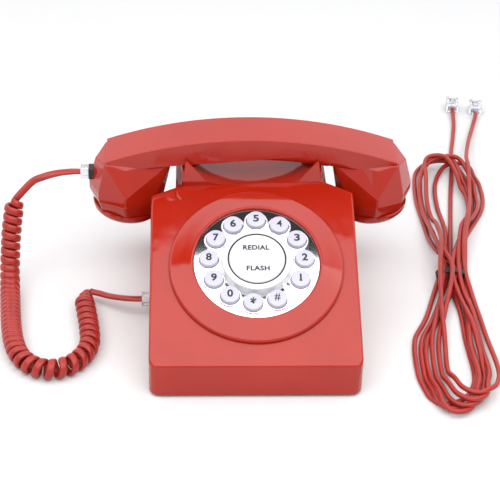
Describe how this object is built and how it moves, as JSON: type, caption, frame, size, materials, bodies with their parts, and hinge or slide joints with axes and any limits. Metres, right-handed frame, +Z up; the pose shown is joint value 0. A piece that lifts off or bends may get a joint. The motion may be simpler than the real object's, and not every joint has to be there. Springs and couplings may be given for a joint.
{
  "type": "corded desk telephone",
  "caption": "Glossy desk telephone with a wedge housing, a round dial of push keys, an arched handset on a horned cradle, a curly handset cord and a tied line cord.",
  "frame": {"origin": "middle of the telephone's footprint at table level, cords left out", "axes": "+Z up, front with the keys towards -Y, +X to the right as the caller sees it, along the handset"},
  "size_m": [0.3556, 0.3832, 0.105],
  "materials": {
    "red_gloss": "high gloss moulded ABS",
    "chrome": "bright plated",
    "pearl_white": "smooth satin gloss",
    "black_plastic": "fine matt",
    "steel": "zinc plated",
    "rubber": "matt",
    "silicone": "satin",
    "circuit_board": "solder mask",
    "red_cord": "smooth flexible jacket",
    "clear_plug": "clear polycarbonate"
  },
  "bodies": {
    "base": {"housing": "red_gloss", "cradle": "red_gloss", "base_plate": "black_plastic", "rubber_feet": "rubber", "base_screws": "steel", "ballast": "steel", "main_board": "circuit_board", "board_screws": "steel", "ringer": "black_plastic", "line_jack": "black_plastic", "handset_jack": "black_plastic", "ringer_switch": "steel", "dial_collar": "red_gloss", "dial_plate": "chrome", "finger_stop": "chrome", "centre_ring": "pearl_white", "rocker_pin": "steel", "keypad_mat": "silicone", "keypad_board": "circuit_board", "keypad_backplate": "black_plastic", "keypad_screws": "steel", "hook_bracket": "steel", "hook_screws": "steel", "hook_lever_pin": "steel", "hook_switch": "black_plastic", "plunger_springs": "steel", "cord_coil": "red_cord", "lower_lead": "red_cord", "base_plug": "clear_plug", "line_hank": "red_cord", "line_plugs": "clear_plug", "twist_tie": "black_plastic"},
    "handset": {"handset_shell": "red_gloss", "handset_cover": "red_gloss", "handset_screws": "steel", "handset_weight": "steel", "handset_socket": "black_plastic", "mouth_cap": "red_gloss", "ear_cap": "red_gloss", "microphone": "black_plastic", "receiver": "steel", "handset_plug": "clear_plug", "upper_lead": "red_cord"},
    "left_plunger": {"plunger_left": "pearl_white"},
    "right_plunger": {"plunger_right": "pearl_white"},
    "lever": {"hook_lever": "black_plastic"},
    "redial_flash_button": {"centre_rocker": "pearl_white"},
    "ringer_knob": {"ringer_switch_knob": "black_plastic"},
    "button_1": {"key_1": "pearl_white"},
    "button_2": {"key_2": "pearl_white"},
    "button_3": {"key_3": "pearl_white"},
    "button_4": {"key_4": "pearl_white"},
    "button_5": {"key_5": "pearl_white"},
    "button_6": {"key_6": "pearl_white"},
    "button_7": {"key_7": "pearl_white"},
    "button_8": {"key_8": "pearl_white"},
    "button_9": {"key_9": "pearl_white"},
    "button_0": {"key_0": "pearl_white"},
    "button_star": {"key_star": "pearl_white"},
    "button_hash": {"key_hash": "pearl_white"}
  },
  "joints": [
    {"name": "handset_lift", "type": "slide", "parent": "base", "child": "handset", "axis": [0, 0, 1], "range_m": [0, 0.06]},
    {"name": "left_plunger_rise", "type": "slide", "parent": "base", "child": "left_plunger", "axis": [0, 0, 1], "range_m": [0, 0.004]},
    {"name": "right_plunger_rise", "type": "slide", "parent": "base", "child": "right_plunger", "axis": [0, 0, 1], "range_m": [0, 0.004]},
    {"name": "hook_lever_swing", "type": "hinge", "parent": "base", "child": "lever", "pos_m": [0, 0.037, 0.04], "axis": [1, 0, 0], "range_deg": [0, 12]},
    {"name": "redial_flash_rock", "type": "hinge", "parent": "base", "child": "redial_flash_button", "pos_m": [0, -0.02434, 0.05311], "axis": [1, 0, 0], "range_deg": [-3.5, 3.5], "stiffness_Nm_per_rad": 1.2},
    {"name": "ringer_knob_slide", "type": "slide", "parent": "base", "child": "ringer_knob", "axis": [0, 1, 0], "range_m": [0, 0.004]},
    {"name": "press_1", "type": "slide", "parent": "base", "child": "button_1", "axis": [0, 0.4131, -0.9107], "range_m": [0, 0.0015], "stiffness_N_per_m": 400},
    {"name": "press_2", "type": "slide", "parent": "base", "child": "button_2", "axis": [0, 0.4131, -0.9107], "range_m": [0, 0.0015], "stiffness_N_per_m": 400},
    {"name": "press_3", "type": "slide", "parent": "base", "child": "button_3", "axis": [0, 0.4131, -0.9107], "range_m": [0, 0.0015], "stiffness_N_per_m": 400},
    {"name": "press_4", "type": "slide", "parent": "base", "child": "button_4", "axis": [0, 0.4131, -0.9107], "range_m": [0, 0.0015], "stiffness_N_per_m": 400},
    {"name": "press_5", "type": "slide", "parent": "base", "child": "button_5", "axis": [0, 0.4131, -0.9107], "range_m": [0, 0.0015], "stiffness_N_per_m": 400},
    {"name": "press_6", "type": "slide", "parent": "base", "child": "button_6", "axis": [0, 0.4131, -0.9107], "range_m": [0, 0.0015], "stiffness_N_per_m": 400},
    {"name": "press_7", "type": "slide", "parent": "base", "child": "button_7", "axis": [0, 0.4131, -0.9107], "range_m": [0, 0.0015], "stiffness_N_per_m": 400},
    {"name": "press_8", "type": "slide", "parent": "base", "child": "button_8", "axis": [0, 0.4131, -0.9107], "range_m": [0, 0.0015], "stiffness_N_per_m": 400},
    {"name": "press_9", "type": "slide", "parent": "base", "child": "button_9", "axis": [0, 0.4131, -0.9107], "range_m": [0, 0.0015], "stiffness_N_per_m": 400},
    {"name": "press_0", "type": "slide", "parent": "base", "child": "button_0", "axis": [0, 0.4131, -0.9107], "range_m": [0, 0.0015], "stiffness_N_per_m": 400},
    {"name": "press_star", "type": "slide", "parent": "base", "child": "button_star", "axis": [0, 0.4131, -0.9107], "range_m": [0, 0.0015], "stiffness_N_per_m": 400},
    {"name": "press_hash", "type": "slide", "parent": "base", "child": "button_hash", "axis": [0, 0.4131, -0.9107], "range_m": [0, 0.0015], "stiffness_N_per_m": 400}
  ],
  "couplings": [
    {"joint": "left_plunger_rise", "follows": "handset_lift", "ratio": 0.066667},
    {"joint": "right_plunger_rise", "follows": "handset_lift", "ratio": 0.066667},
    {"joint": "hook_lever_swing", "follows": "handset_lift", "rad_per_m": 3.4897}
  ]
}
